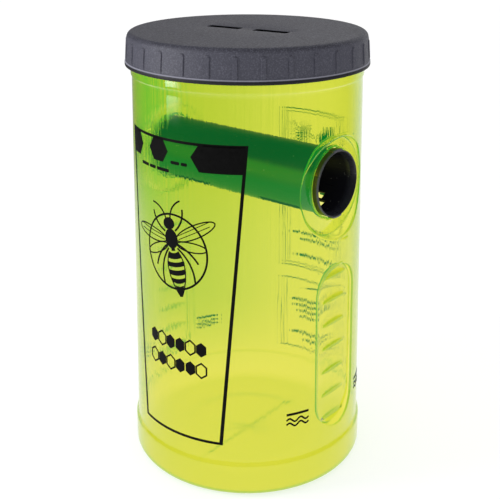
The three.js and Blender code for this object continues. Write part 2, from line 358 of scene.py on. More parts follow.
class Nodes:
    """The node tree of a new material, or of the world, with short calls to add nodes and link them."""

    def __init__(self, name, world=False):
        self.owner = bpy.data.worlds.new(name) if world else bpy.data.materials.new(name)
        self.owner.use_nodes = True
        self.tree = self.owner.node_tree
        self.tree.nodes.clear()
        self.output = self.tree.nodes.new("ShaderNodeOutputWorld" if world else "ShaderNodeOutputMaterial")

    def add(self, kind, settings=None, **inputs):
        node = self.tree.nodes.new("ShaderNode" + kind)
        for key, value in (settings or {}).items():
            setattr(node, key, value)
        for key, value in inputs.items():
            socket = node.inputs[int(key[1:])] if key[1:].isdigit() else node.inputs[key.replace("_", " ")]
            if isinstance(value, bpy.types.NodeSocket):
                self.tree.links.new(value, socket)
            else:
                socket.default_value = value
        return node

    def math(self, operation, a, b=0.0, c=0.0):
        return self.add("Math", {"operation": operation}, i0=a, i1=b, i2=c).outputs[0]

    def mix_colour(self, factor, a, b):
        node = self.add("Mix", {"data_type": "RGBA"}, i0=factor, i6=a, i7=b)
        return node.outputs[2]

    def object_place(self):
        return self.add("TexCoord").outputs["Object"]

    def surface(self, socket):
        self.tree.links.new(socket, self.output.inputs["Surface"])

    def volume(self, socket):
        self.tree.links.new(socket, self.output.inputs["Volume"])


def tinted_plastic():
    """Clear yellow-green plastic: refracting walls that absorb by thickness.

    A faint green glow in them stands in for the light that real plastic scatters.
    """
    n = Nodes("clear_yellow_green")
    place = n.add("SeparateXYZ", Vector=n.object_place())
    x, y, z = place.outputs
    away = n.math("SQRT", n.math("ADD", n.math("MULTIPLY", x, x), n.math("MULTIPLY", y, y)))
    away = n.math("MAXIMUM", away, 0.001)
    # Upright streaks of the blown wall: the noise runs quickly round the jar and slowly up it.
    across = [n.math("MULTIPLY", n.math("DIVIDE", side, away), STREAKS_PER_RADIAN) for side in (x, y)]
    up = n.math("MULTIPLY", z, 9.0)
    streak_place = n.add("CombineXYZ", X=across[0], Y=across[1], Z=up).outputs[0]
    streaks = n.add("TexNoise", Vector=streak_place, Scale=1.0, Detail=2.0, Roughness=0.6)
    inside = n.add("Attribute", {"attribute_name": "inside"}).outputs["Fac"]
    bump = n.add("Bump", Height=streaks.outputs[0], Strength=inside, Distance=STREAK_DEPTH).outputs[0]
    # The first skin mirrors as real plastic does; deeper ones mirror only at steep angles.
    path = n.add("LightPath")
    from_inside = n.add("NewGeometry").outputs["Backfacing"]
    first_skin = n.math("MULTIPLY", path.outputs["Is Camera Ray"], n.math("SUBTRACT", 1.0, from_inside))
    fresnel = n.add("Fresnel", IOR=JAR_IOR, Normal=bump).outputs[0]
    steep = n.add("MapRange", Value=fresnel, i1=0.12, i2=1.0).outputs[0]
    mirrored = n.add("Mix", {"data_type": "FLOAT"}, i0=first_skin, i2=steep, i3=fresnel).outputs[0]
    bent = n.add("BsdfRefraction", Color=WHITE, Roughness=0.0, IOR=JAR_IOR, Normal=bump)
    shine = n.add("BsdfGlossy", Color=WHITE, Roughness=0.0)
    plastic = n.add("MixShader", i0=mirrored, i1=bent.outputs[0], i2=shine.outputs[0])
    # Light that has left another surface passes straight through, and is only tinted.
    straight = n.math("MAXIMUM", path.outputs["Is Shadow Ray"], path.outputs["Is Reflection Ray"])
    clear = n.add("BsdfTransparent", Color=WHITE)
    mixed = n.add("MixShader", i0=straight, i1=plastic.outputs[0], i2=clear.outputs[0])
    n.surface(mixed.outputs[0])
    absorbing = n.add("VolumeAbsorption", Color=JAR_ABSORPTION_COLOUR, Density=JAR_ABSORPTION)
    glow = n.add("Emission", Color=JAR_GLOW_COLOUR, Strength=JAR_GLOW)
    n.volume(n.add("AddShader", i0=absorbing.outputs[0], i1=glow.outputs[0]).outputs[0])
    return n.owner


def lid_plastic():
    """Black-grey plastic with a fine moulded grain and painted light: steep faces are painted paler than the
    top, creases and the unlit strap slots get painted shade, and the rim bead gets painted shade and a
    painted highlight.
    """
    n = Nodes("black_lid_plastic")
    place = n.object_place()
    grain = n.add("TexNoise", Vector=place, Scale=1500.0, Detail=3.0, Roughness=0.7).outputs[0]
    cloud = n.add("TexNoise", Vector=place, Scale=60.0, Detail=3.0, Roughness=0.5).outputs[0]
    base = n.mix_colour(cloud, LID_DARK, LID_PALE)
    upright = n.add("SeparateXYZ", Vector=n.add("NewGeometry").outputs["Normal"]).outputs[2]
    # Painted light: steep faces such as the skirt are painted paler than the top.
    base = n.mix_colour(smooth_range(n, upright, 0.7, 0.1), base, LID_SIDE_PAINTED_LIGHT)
    lit_grain = smooth_range(n, grain, 0.45, 0.72, 0.0, 0.8)
    grained = n.mix_colour(lit_grain, base, LID_GRAIN)
    # Painted shade: ambient occlusion darkens the creases, and the strap slots' walls are painted fully
    # dark.
    open_air = n.add("AmbientOcclusion", {"samples": 12}, Distance=0.0012).outputs["AO"]
    open_air = smooth_range(n, open_air, 0.3, 0.8)
    slot = n.add("Attribute", {"attribute_name": "slot"}).outputs["Fac"]
    open_air = n.math("MULTIPLY", open_air, n.math("SUBTRACT", 1.0, slot))
    colour = n.mix_colour(open_air, LID_PAINTED_SHADE, grained)
    # The rim bead gets a painted shade below and a painted highlight along its upper edge.
    height = n.add("SeparateXYZ", Vector=place).outputs[2]
    low = smooth_range(n, height, (LID_BOTTOM + 1.7) / METRE, (LID_BOTTOM + 1.3) / METRE)
    colour = n.mix_colour(low, colour, BEAD_PAINTED_SHADE)
    bead_highlight = smooth_range(n, height, (BEAD_TOP + 0.2) / METRE, BEAD_TOP / METRE)
    bead_highlight = n.math("MULTIPLY", bead_highlight, smooth_range(n, upright, 0.2, 0.5))
    colour = n.mix_colour(bead_highlight, colour, BEAD_PAINTED_HIGHLIGHT)
    rough = n.add("MapRange", Value=grain, i1=0.3, i2=0.7, i3=0.64, i4=0.46).outputs[0]
    bump = n.add("Bump", Height=grain, Strength=0.6, Distance=0.0002).outputs[0]
    shader = n.add("BsdfPrincipled", Base_Color=colour, Roughness=rough, Normal=bump)
    n.tree.links.new(n.math("MULTIPLY", open_air, LID_SPECULAR), shader.inputs["Specular IOR Level"])
    n.surface(shader.outputs[0])
    return n.owner


def tube_plastic():
    """Smooth black plastic with faint drawing lines and dust; duller, and faintly lit, in the jar. The
    mouths carry painted light and a painted reflection of the jar.
    """
    n = Nodes("black_tunnel_plastic")
    place = n.object_place()
    stretched = n.add("Mapping", Vector=place, Scale=(0.08, 1.0, 1.0)).outputs[0]
    lines = n.add("TexNoise", Vector=stretched, Scale=900.0, Detail=2.0)
    dust = n.add("TexVoronoi", {"feature": "F1"}, Vector=place, Scale=420.0)
    speck = n.add("MapRange", Value=dust.outputs["Distance"], i1=0.09, i2=0.06)
    dusty = n.math("MULTIPLY", speck.outputs[0], 0.4)
    lip_start, lip_full = (TUBE_END - 5) / METRE, (TUBE_END - 2.5) / METRE
    own_x = n.math("ABSOLUTE", n.add("SeparateXYZ", Vector=place).outputs[0])
    lip = smooth_range(n, own_x, lip_start, lip_full)
    # Where the tube now stands in the trap: in the open or inside the jar.
    x, y, z = n.add("SeparateXYZ", Vector=n.add("NewGeometry").outputs["Position"]).outputs
    from_middle = n.math("ABSOLUTE", x)
    mouth = smooth_range(n, from_middle, lip_start, lip_full)
    level = n.math("SUBTRACT", z, TUNNEL_Z / METRE)
    from_axis = n.math("SQRT", n.math("ADD", n.math("MULTIPLY", y, y), n.math("MULTIPLY", level, level)))
    outside = n.math("GREATER_THAN", from_axis, (TUBE_RADIUS - 0.15) / METRE)
    # Painted light at the mouths: paler inside, and a painted grey-blue highlight on the outside.
    plain = n.mix_colour(lip, TUBE_BLACK, LIP_INSIDE_PAINTED_LIGHT)
    plain = n.mix_colour(n.math("MULTIPLY", outside, lip), plain, LIP_OUTSIDE_PAINTED_HIGHLIGHT)
    # Painted reflection: the outside next to the collar is painted olive, for the yellow jar that it
    # reflects.
    jar_reflection_mask = smooth_range(n, from_middle, (COLLAR_FACE + 2.0) / METRE, (COLLAR_FACE + 1.2) / METRE)
    jar_reflection_mask = n.math("MULTIPLY", n.math("MULTIPLY", outside, jar_reflection_mask), mouth)
    plain = n.mix_colour(jar_reflection_mask, plain, PAINTED_JAR_REFLECTION)
    colour = n.mix_colour(dusty, plain, DUST)
    shine = level_mix(n, mouth, 0.06, 0.45)
    rough = n.add("MapRange", Value=lines.outputs[0], i1=0.3, i2=0.7, i3=0.26, i4=0.38)
    bump = n.add("Bump", Height=lines.outputs[0], Strength=0.25, Distance=0.0001)
    shader = n.add("BsdfPrincipled", Base_Color=colour, Roughness=rough.outputs[0], Normal=bump.outputs[0])
    n.tree.links.new(shine, shader.inputs["Specular IOR Level"])
    # A green glow from below stands in for the light that the jar scatters on the part inside it.
    upright = n.add("SeparateXYZ", Vector=n.add("NewGeometry").outputs["Normal"]).outputs[2]
    band = n.math("MULTIPLY", smooth_range(n, upright, 0.56, 0.36), smooth_range(n, upright, -0.15, 0.15))
    below = n.mix_colour(smooth_range(n, upright, 0.3, -0.1), UNLIT, GLOW_BELOW)
    light = n.mix_colour(band, below, GLOW_BAND)
    n.tree.links.new(light, shader.inputs["Emission Color"])
    lit = n.math("MULTIPLY", outside, n.math("SUBTRACT", 1.0, mouth))
    n.tree.links.new(lit, shader.inputs["Emission Strength"])
    n.surface(shader.outputs[0])
    return n.owner


def seal_foam():
    """Pale closed-cell foam with fine pores."""
    n = Nodes("pale_foam")
    cells = n.add("TexVoronoi", {"feature": "F1"}, Vector=n.object_place(), Scale=1800.0)
    colour = n.mix_colour(cells.outputs["Distance"], FOAM_PORE, FOAM_SKIN)
    bump = n.add("Bump", Height=cells.outputs["Distance"], Strength=0.5, Distance=0.0002)
    shader = n.add("BsdfPrincipled", Base_Color=colour, Roughness=0.85, Normal=bump.outputs[0])
    n.surface(shader.outputs[0])
    return n.owner


def printing_ink():
    """Black screen ink, slightly uneven in thickness."""
    n = Nodes("printing_ink")
    patches = n.add("TexNoise", Vector=n.object_place(), Scale=700.0, Detail=2.0)
    colour = n.mix_colour(patches.outputs[0], INK_THICK, INK_THIN)
    rough = n.add("MapRange", Value=patches.outputs[0], i1=0.3, i2=0.7, i3=0.35, i4=0.5)
    shader = n.add("BsdfPrincipled", Base_Color=colour, Roughness=rough.outputs[0])
    shader.inputs["Specular IOR Level"].default_value = 0.05
    n.surface(shader.outputs[0])
    return n.owner


def level_mix(n, factor, low, high):
    """A plain number between two others."""
    return n.add("Mix", {"data_type": "FLOAT"}, i0=factor, i2=low, i3=high).outputs[0]


def smooth_range(n, value, start, end, low=0.0, high=1.0):
    """Smoothly runs from low to high while the value runs from start to end."""
    smooth = {"interpolation_type": "SMOOTHSTEP"}
    return n.add("MapRange", smooth, Value=value, i1=start, i2=end, i3=low, i4=high).outputs[0]


def along(n, vector, axis):
    """How far a vector runs along an axis."""
    return n.add("VectorMath", {"operation": "DOT_PRODUCT"}, i0=vector, i1=axis).outputs["Value"]


def studio_levels(n, heading, from_camera):
    """How bright the studio is when reflected, and its colour when seen through the plastic.

    The level follows the heading. The colour follows the sight line from the camera's own place.
    """
    right = along(n, heading, CAMERA_RIGHT)
    away = along(n, heading, CAMERA_AWAY)
    side = smooth_range(n, right, -0.7, 0.4, REFLECTED_LEFT, REFLECTED_RIGHT)
    behind = smooth_range(n, away, 0.3, 0.8)
    reflected = level_mix(n, behind, REFLECTED_FRONT, side)
    depth = n.math("MAXIMUM", along(n, from_camera, CAMERA_AWAY), 0.001)
    rightward = n.math("DIVIDE", along(n, from_camera, CAMERA_RIGHT), depth)
    upward = n.math("DIVIDE", along(n, from_camera, (0.0, 0.0, 1.0)), depth)
    # Greener above and to the left. This is tuned for the camera's own place and no other.
    ahead = smooth_range(n, rightward, -0.40, -0.20)
    upper = n.math("MULTIPLY", ahead, smooth_range(n, rightward, 0.11, -0.06))
    upper = n.math("MULTIPLY", upper, smooth_range(n, upward, -0.56, -0.43))
    corner = n.math("MULTIPLY", ahead, smooth_range(n, rightward, -0.06, -0.125))
    corner = n.math("MULTIPLY", corner, smooth_range(n, upward, -0.42, -0.24))
    seen_through = n.mix_colour(smooth_range(n, upward, -0.52, -0.30), THROUGH_LOW, THROUGH_MIDDLE)
    seen_through = n.mix_colour(upper, seen_through, THROUGH_HIGH)
    seen_through = n.mix_colour(corner, seen_through, THROUGH_LEFT)
    path = n.add("LightPath")
    trapped = n.math("MULTIPLY", path.outputs["Is Singular Ray"], path.outputs["Transmission Depth"])
    trapped = n.math("MINIMUM", trapped, 1.0)
    reflected = level_mix(n, trapped, reflected, TRAPPED_LIGHT)
    return path, reflected, seen_through


def floor_paint():
    """White paper: it takes soft shadows, and reflections and clear plastic show it without them."""
    n = Nodes("studio_white")
    place = n.object_place()
    heading = n.add("VectorMath", {"operation": "NORMALIZE"}, i0=place).outputs[0]
    distance = n.add("VectorMath", {"operation": "LENGTH"}, i0=place).outputs["Value"]
    from_camera = n.add("VectorMath", {"operation": "SUBTRACT"}, i0=place, i1=camera_place()).outputs[0]
    path, reflected, seen_through = studio_levels(n, heading, from_camera)
    near = smooth_range(n, distance, 0.6, 0.25)
    reflected = level_mix(n, near, reflected, 1.0)
    colour = n.mix_colour(path.outputs["Is Transmission Ray"], reflected, seen_through)
    plain = n.add("Emission", Color=colour, Strength=1.0)
    paper = n.add("BsdfDiffuse", Color=(0.93, 0.93, 0.93, 1))
    bright = n.add("Emission", Color=WHITE, Strength=1.25)
    shadowed = n.add("MixShader", i0=0.55, i1=paper.outputs[0], i2=bright.outputs[0])
    indirect = n.math("SUBTRACT", 1.0, path.outputs["Is Camera Ray"])
    indirect = n.math("SUBTRACT", indirect, path.outputs["Is Diffuse Ray"])
    n.surface(n.add("MixShader", i0=indirect, i1=shadowed.outputs[0], i2=plain.outputs[0]).outputs[0])
    return n.owner


# ---------- jar ----------


def side_angle(azimuth):
    """Angle in radians from the nearer of the two tunnel mouths, for a point's azimuth from +X."""
    return abs(math.remainder(azimuth, math.pi))


def seam_height(azimuth):
    """Height of the two upright mould seams, midway between the tunnel mouths."""
    seam = math.degrees(math.pi / 2 - side_angle(azimuth))
    return SEAM_PROUD * math.exp(-((seam / 0.35) ** 2))


def jar_azimuths():
    """Azimuths from +X in radians: fine around the tunnel mouths and the mould seams."""
    half = spread(-28, 28, 1.4) + spread(28, 80, 2.6)
    half += [80, 83.5, 86, 87.5, 88.5, 89.2, 89.7, 90, 90.3, 90.8, 91.5, 92.5, 94, 96.5, 100]
    half += spread(102.6, 152, 2.6)
    return [math.radians(a + turn) for turn in (0, 180) for a in half]


def body_heights():
    """Heights of the rows up the body, close together round the grips and the tunnel seats."""
    rows = spread(STEP_TOP, FINE_ROWS_FROM, 1.5) + spread(FINE_ROWS_FROM, FINE_ROWS_TO, 1.3)
    return rows + spread(FINE_ROWS_TO, NECK_RING_BOTTOM, 2.6)


def thread_height(azimuth, z):
    """Height of the neck's helical thread above the neck, at a place."""
    turn = (azimuth % (2 * math.pi)) / (2 * math.pi)
    return max(thread_rib(turn + lap, z, NECK_THREAD_LAPS, NECK_THREAD_HEIGHT) for lap in (0, 1))


def base_ridge(x, r):
    """Depth of the pinch-off ridge across the base, which runs along Y."""
    return BASE_RIDGE * math.exp(-((x / 0.8) ** 2)) * ramp(r, DISH_RADIUS + 1, DISH_RADIUS - 6)


def jar_outside_rows():
    """Outer skin from the middle of the base to the mouth: radius, height and the way it is shaped."""
    slope_start = DISH_RADIUS - DISH_SLOPE
    dish = [(r, DISH_DEPTH) for r in spread(4, slope_start, 4.0)]
    for r in spread(slope_start, DISH_RADIUS, 0.8):
        dish.append((r, DISH_DEPTH * ramp(r, DISH_RADIUS, slope_start)))
    ring_full = NECK_RING_BOTTOM + RING_RISE
    ring_end = SHOULDER_Z - RING_CORNER
    rows = profile_rows(dish + [(DISH_RADIUS, 0.0)], "base")
    rows.append((42.0, 0.0, "round"))
    rows += profile_rows(arc(FOOT_RADIUS - FOOT_CORNER, FOOT_CORNER, FOOT_CORNER, -90, 0, 10))
    rows += upright_rows(FOOT_RADIUS, spread(FOOT_CORNER + 1.6, STEP_BOTTOM, 1.6))
    rows += eased_rows(FOOT_RADIUS, BODY_RADIUS, STEP_BOTTOM, STEP_TOP, 0.32)
    rows += upright_rows(BODY_RADIUS, body_heights())
    rows += eased_rows(BODY_RADIUS, NECK_RING_RADIUS, NECK_RING_BOTTOM, ring_full, 0.18)
    rows += upright_rows(NECK_RING_RADIUS, spread(ring_full, ring_end, 1.0))
    rows += profile_rows(arc(NECK_RING_RADIUS - RING_CORNER, ring_end, RING_CORNER, 0, 90, 4))
    rows += profile_rows([(NECK_RADIUS + 0.5, SHOULDER_Z), (NECK_RADIUS + 0.1, SHOULDER_Z + 0.15)])
    return rows + upright_rows(NECK_RADIUS, spread(SHOULDER_Z + 0.5, MOUTH_RIM - 0.7, 0.42), "thread")


def jar_inside_rows():
    """Inner skin from the mouth back to the middle of the floor."""
    bore = NECK_RADIUS - NECK_WALL
    inner_ring = NECK_RING_RADIUS - WALL
    inner_body = BODY_RADIUS - WALL
    inner_foot = FOOT_RADIUS - WALL
    under_shoulder = SHOULDER_Z - 0.35
    ring_full = NECK_RING_BOTTOM + RING_RISE
    rows = profile_rows(arc(NECK_RADIUS - NECK_WALL / 2, MOUTH_RIM - MOUTH_BEAD, MOUTH_BEAD, 0, 180, 8))
    rows += upright_rows(bore, spread(MOUTH_RIM - 1.5, under_shoulder + 0.5, 2.0))
    rows += profile_rows(arc(bore + 0.5, under_shoulder + 0.5, 0.5, 180, 270, 3))
    rows += profile_rows(arc(inner_ring - RING_CORNER, under_shoulder - RING_CORNER, RING_CORNER, 90, 0, 4))
    rows += upright_rows(inner_ring, (NECK_RING_BOTTOM + 1.2, ring_full))
    for share in (0.2, 0.4, 0.6, 0.8, 1.0):
        rows.append((inner_ring + (inner_body - inner_ring) * ramp(share, 0, 1), ring_full - share, "round"))
    rows += upright_rows(inner_body, [z for z in reversed(body_heights()) if z < NECK_RING_BOTTOM - 1.0])
    rows += eased_rows(inner_body, inner_foot, STEP_TOP - 0.2, STEP_BOTTOM - 0.4, 0.32)
    rows += upright_rows(inner_foot, spread(STEP_BOTTOM - 0.4, FOOT_CORNER + 1.6, 1.6))
    corner = FOOT_CORNER - WALL
    rows += profile_rows(arc(FOOT_RADIUS - FOOT_CORNER, FLOOR_THICKNESS + corner, corner, 0, -90, 8))
    rows.append((43.0, FLOOR_THICKNESS, "round"))
    slope_start = DISH_RADIUS - DISH_SLOPE
    for r in spread(DISH_RADIUS, slope_start, 0.8):
        rows.append((r, FLOOR_THICKNESS + DISH_DEPTH * ramp(r, DISH_RADIUS, slope_start), "round"))
    return rows + [(r, FLOOR_THICKNESS + DISH_DEPTH, "round") for r in spread(slope_start, 3, 4.0)]


def jar_point(row, azimuth, depth):
    """A point of the jar's skin."""
    r, z, shape = row
    if shape == "thread":
        r += thread_height(azimuth, z)
    elif shape == "base":
        z -= base_ridge(r * math.cos(azimuth), r)
    elif depth == 0 and r > DISH_RADIUS:
        r += seam_height(azimuth)
    return around_axis(r, azimuth, z)


def key_bulge(angle):
    """How far the hole's edge steps out for the key lugs above and below, at an angle round it."""
    sideways = abs(math.cos(angle)) * (TUBE_RADIUS + KEY_PROUD)
    return KEY_PROUD * ramp(sideways, 3.9, 3.2)


def sunk_rings(side, outline, face, depth):
    """Rings down a sunk face's stepped edge, on the skin that lies this depth inside the outer skin."""
    steps = [(1.2, 0.0), (0.5, 0.0), (0.28, 0.03), (0.17, 0.16), (0.0, 0.5)]
    steps += [(-0.17, 0.84), (-0.28, 0.97), (-0.5, 1.0), (-1.6, 1.0)]
    rings = []
    for distance, sunk in steps:
        ring = []
        for y, z, out_y, out_z in outline():
            step = math.sqrt(BODY_RADIUS ** 2 - y * y) - face
            wide = distance + depth * (EDGE_SPREAD * step - EDGE_PINCH)
            y, z = y + out_y * wide, z + out_z * wide
            round_wall = math.sqrt((BODY_RADIUS - depth) ** 2 - y * y)
            ring.append((side * (round_wall + (face - depth - round_wall) * sunk), y, z))
        rings.append(ring)
    return rings


def seat_outline():
    """The edge of a tunnel seat: places in Y and Z, each with its outward direction."""
    facing = [(math.cos(a), math.sin(a)) for a in full_turn(SEAT_STEPS)]
    return [(SEAT_RADIUS * y, SEAT_Z + SEAT_RADIUS * z, y, z) for y, z in facing]


def grip_outline():
    """The round-ended edge of a finger grip: places in Y and Z, each with its outward direction."""
    upper, lower = GRIP_TOP - GRIP_RADIUS, GRIP_BOTTOM + GRIP_RADIUS
    edge = []
    for middle, next_middle, start in ((upper, lower, 0), (lower, upper, 180)):
        for y, z in arc(0.0, 0.0, 1.0, start, start + 180, 48):
            edge.append((GRIP_RADIUS * y, middle + GRIP_RADIUS * z, y, z))
        out_y = edge[-1][2]
        edge += [(GRIP_RADIUS * out_y, z, out_y, 0.0) for z in spread(middle, next_middle, 2.0)[1:]]
    return edge


def collar_rings(side):
    """The hole's collar, from the outer face of the seat over its lip and through to the inner face."""
    inner_face = SEAT_FACE - WALL
    lip = COLLAR_RADIUS - HOLE_RADIUS
    profile = [(16.2, SEAT_FACE), (15.8, SEAT_FACE + 0.1), (COLLAR_RADIUS + 0.05, SEAT_FACE + 0.4)]
    profile += [(COLLAR_RADIUS, COLLAR_FACE - 0.5)]
    profile += arc(COLLAR_RADIUS - lip / 2, COLLAR_FACE - 0.35, lip / 2, 0, 180, 6)
    profile += [(HOLE_RADIUS, COLLAR_FACE - 1.2), (HOLE_RADIUS, inner_face + 0.4)]
    profile += [(HOLE_RADIUS + 0.12, inner_face + 0.12), (HOLE_RADIUS + 0.4, inner_face)]
    rings = []
    for radius, x in profile:
        ring = []
        for angle in full_turn(SEAT_STEPS):
            wide = radius + key_bulge(angle)
            ring.append((side * x, wide * math.cos(angle), TUNNEL_Z + wide * math.sin(angle)))
        rings.append(ring)
    return rings


def add_ridge(bm, side, height):
    """A finger ridge on a grip's outer face, steep below and sloping above; returns its edge."""
    steps = 20
    columns = []
    for i in range(steps + 1):
        y = GRIP_RIDGE_HALF_LENGTH * (2 * i / steps - 1)
        swell = math.sqrt(max(0.0, 1 - (2 * i / steps - 1) ** 2))
        crest = GRIP_FACE + GRIP_RIDGE_PROUD * swell
        column = [(GRIP_FACE, y, height - 0.4 * swell)]
        if 0 < i < steps:
            column.append((crest - 0.1, y, height - 0.15))
            column.append((crest, y, height + 0.1))
            slope = GRIP_FACE + (crest - GRIP_FACE) * 0.45
            column.append((slope, y, height + GRIP_RIDGE_RISE * 0.5 * swell))
            column.append((GRIP_FACE, y, height + GRIP_RIDGE_RISE * swell))
        columns.append([bm.verts.new(Vector((side * x, y, z)) / METRE) for x, y, z in column])
    for left, right in zip(columns, columns[1:]):
        for k in range(4):
            corners = [left[min(k, len(left) - 1)], left[min(k + 1, len(left) - 1)]]
            corners += [right[min(k + 1, len(right) - 1)], right[min(k, len(right) - 1)]]
            bm.faces.new(list(dict.fromkeys(corners)))
    return [column[0] for column in columns] + [column[-1] for column in reversed(columns[1:-1])]


def open_wall(bm, faces, ring, side, outline):
    """Clears the skin inside an outline on one side, and joins the gap's edge to a ring of vertices."""
    bounds = [(y + out_y * CLEARED, z + out_z * CLEARED) for y, z, out_y, out_z in outline()]
    cleared = []
    for face in faces:
        centre = face.calc_center_median() * METRE
        if centre.x * side > 30 and is_inside(centre.y, centre.z, bounds):
            cleared.append(face)
    removed = set(cleared)
    rim = set()
    for face in cleared:
        for edge in face.edges:
            if any(other not in removed for other in edge.link_faces):
                rim.add(edge)
    bmesh.ops.delete(bm, geom=cleared, context="FACES")
    edges = [edge for edge in rim if edge.is_valid]
    edges += [bm.edges.get(pair) for pair in zip(ring, ring[1:] + ring[:1])]
    bmesh.ops.triangle_fill(bm, use_beauty=True, edges=edges, normal=(side, 0, 0))


def is_inside(x, y, outline):
    """Whether a point is inside a closed outline."""
    inside = False
    for (x0, y0), (x1, y1) in zip(outline, outline[1:] + outline[:1]):
        if (y0 > y) != (y1 > y) and x < x0 + (x1 - x0) * (y - y0) / (y1 - y0):
            inside = not inside
    return inside


def sink_sides(bm, outer_faces, inner_faces):
    """Fits a tunnel seat with its collared hole, and a ridged finger grip, into both sides of the jar."""
    layer = bm.verts.layers.float["inside"]
    for side in (1, -1):
        collar = add_rings(bm, collar_rings(side))
        ridges = [add_ridge(bm, side, height) for height in GRIP_RIDGES]
        for depth, faces in ((0.0, outer_faces), (WALL, inner_faces)):
            for outline, face_x in ((seat_outline, SEAT_FACE), (grip_outline, GRIP_FACE)):
                rings = add_rings(bm, sunk_rings(side, outline, face_x, depth))
                mark(rings, layer, 1.0 if depth else 0.0)
                open_wall(bm, [f for f in faces if f.is_valid], rings[0], side, outline)
                loops = [rings[-1]]
                if outline is seat_outline:
                    loops.append(collar[-1] if depth else collar[0])
                elif not depth:
                    loops += ridges
                fill_flat(bm, loops, (side, 0, 0))


def build_jar(material):
    """Both skins as one closed surface, and then the seats and grips sunk into it."""
    azimuths = jar_azimuths()
    outside = jar_outside_rows()
    inside = jar_inside_rows()
    rings = [[(0.0, 0.0, DISH_DEPTH - BASE_RIDGE)]]
    rings += [[jar_point(row, a, 0.0) for a in azimuths] for row in outside]
    rings += [[jar_point(row, a, WALL) for a in azimuths] for row in inside]
    rings += [[(0.0, 0.0, FLOOR_THICKNESS + DISH_DEPTH)]]
    bm = bmesh.new()
    layer = bm.verts.layers.float.new("inside")
    made = add_rings(bm, rings)
    split = len(azimuths) * len(outside)
    outer_faces = list(bm.faces)[:split]
    inner_faces = list(bm.faces)[split:]
    mark(made[len(outside) + 1:], layer, 1.0)
    sink_sides(bm, outer_faces, inner_faces)
    finish_mesh(bm, "jar_shell", material, "jar_body", 60, "jar")


# ---------- screw lid ----------

LID_TOP_RADIUS = 53.8
LID_FOOT_RADIUS = 54.46
LID_WALL = 2.0
LID_BORE = LID_FOOT_RADIUS - LID_WALL - 0.5
LID_EDGE = 2.5
LID_RIBS = 30
LID_RIB_TURN = 4.7
LID_RIB_PROUD = 0.45
LID_RIB_HALF = 1.02
BEAD_TOP = LID_BOTTOM + 2.0
SLOT_NEAR = 3.8
SLOT_FAR = 20.6
SLOT_HALF_WIDTH = 2.2
SLOT_TURN = 8.0
SLOT_CORNER = 0.7
LID_DISC_RADIUS = 25.0
LID_THREAD_LAPS = 1.0
LID_THREAD_HEIGHT = 1.7


def lid_azimuths():
    """Azimuths round the lid from +X, with a close set at the edges of every grip rib."""
    offsets = (-4.8, -3.2, -2.0, -1.18, -0.99, -0.5, 0.5, 0.99, 1.18, 2.0, 3.2, 4.8)
    starts = [i * (360 / LID_RIBS) + LID_RIB_TURN for i in range(LID_RIBS)]
    return [math.radians(start + offset) for start in starts for offset in offsets]


def rib_height(azimuth, z):
    """Height of the grip ribs above the skirt: flat-topped, with a rounded upper end."""
    spacing = 2 * math.pi / LID_RIBS
    across = abs(math.remainder(azimuth - math.radians(LID_RIB_TURN), spacing)) * LID_FOOT_RADIUS
    top = LID_TOP - LID_EDGE - 0.5
    beyond = math.hypot(across, max(0.0, z - (top - LID_RIB_HALF)))
    return LID_RIB_PROUD * ramp(beyond, LID_RIB_HALF + 0.08, LID_RIB_HALF - 0.08)


def skirt_radius(z):
    """Radius of the slightly tapering skirt."""
    share = (LID_TOP - LID_EDGE - z) / (LID_TOP - LID_EDGE - BEAD_TOP)
    return LID_TOP_RADIUS + (LID_FOOT_RADIUS - 0.1 - LID_TOP_RADIUS) * share


def lid_thread_height(azimuth, z):
    """Height of the lid's inner thread, half a turn round from the neck's."""
    turn = (azimuth % (2 * math.pi)) / (2 * math.pi)
    return max(thread_rib(turn + lap, z, LID_THREAD_LAPS, LID_THREAD_HEIGHT) for lap in (-0.5, 0.5))


def lid_rows():
    """The lid's profile from the disc on top, over the edge, down the skirt and back up inside."""
    ceiling = LID_TOP - LID_WALL
    edge_foot = LID_TOP - LID_EDGE
    bead = LID_BEAD_RADIUS
    top = [(LID_DISC_RADIUS, LID_TOP), (38.0, LID_TOP), (48.0, LID_TOP)]
    top += arc(LID_TOP_RADIUS - LID_EDGE, edge_foot, LID_EDGE, 90, 0, 9)[:-1]
    heights = [edge_foot - drop for drop in (0, 0.3, 0.6, 0.85, 1.1, 1.35, 1.6, 2.0, 2.8)]
    heights += spread(edge_foot - 4, BEAD_TOP + 0.2, 1.6)
    rim = [(LID_FOOT_RADIUS - 0.08, BEAD_TOP + 0.15), (LID_FOOT_RADIUS, BEAD_TOP)]
    rim += [(bead - 0.12, BEAD_TOP - 0.1), (bead, BEAD_TOP - 0.35)]
    rim += [(bead, LID_BOTTOM + 0.45), (bead - 0.12, LID_BOTTOM + 0.12)]
    rim += [(bead - 0.45, LID_BOTTOM), (LID_BORE + 0.4, LID_BOTTOM)]
    rim += [(LID_BORE + 0.1, LID_BOTTOM + 0.12), (LID_BORE, LID_BOTTOM + 0.45)]
    under = arc(LID_BORE - 1.0, ceiling - 1.0, 1.0, 0, 90, 4)
    under += [(38.0, ceiling), (LID_DISC_RADIUS, ceiling)]
    rows = profile_rows(top) + [(skirt_radius(z), z, "rib") for z in heights] + profile_rows(rim)
    rows += upright_rows(LID_BORE, spread(LID_BOTTOM + 0.8, ceiling - 1.2, 0.42), "thread")
    return rows + profile_rows(under)


def slot_outline(side, grow):
    """A strap slot grown by a margin: a bar with round corners, pointing away from the lid's middle."""
    half = SLOT_HALF_WIDTH + grow
    slot = rounded_bar(SLOT_NEAR - grow, -half, SLOT_FAR + grow, half, SLOT_CORNER + grow)
    return turned_about([(side * x, side * y) for x, y in slot], 0.0, 0.0, SLOT_TURN)


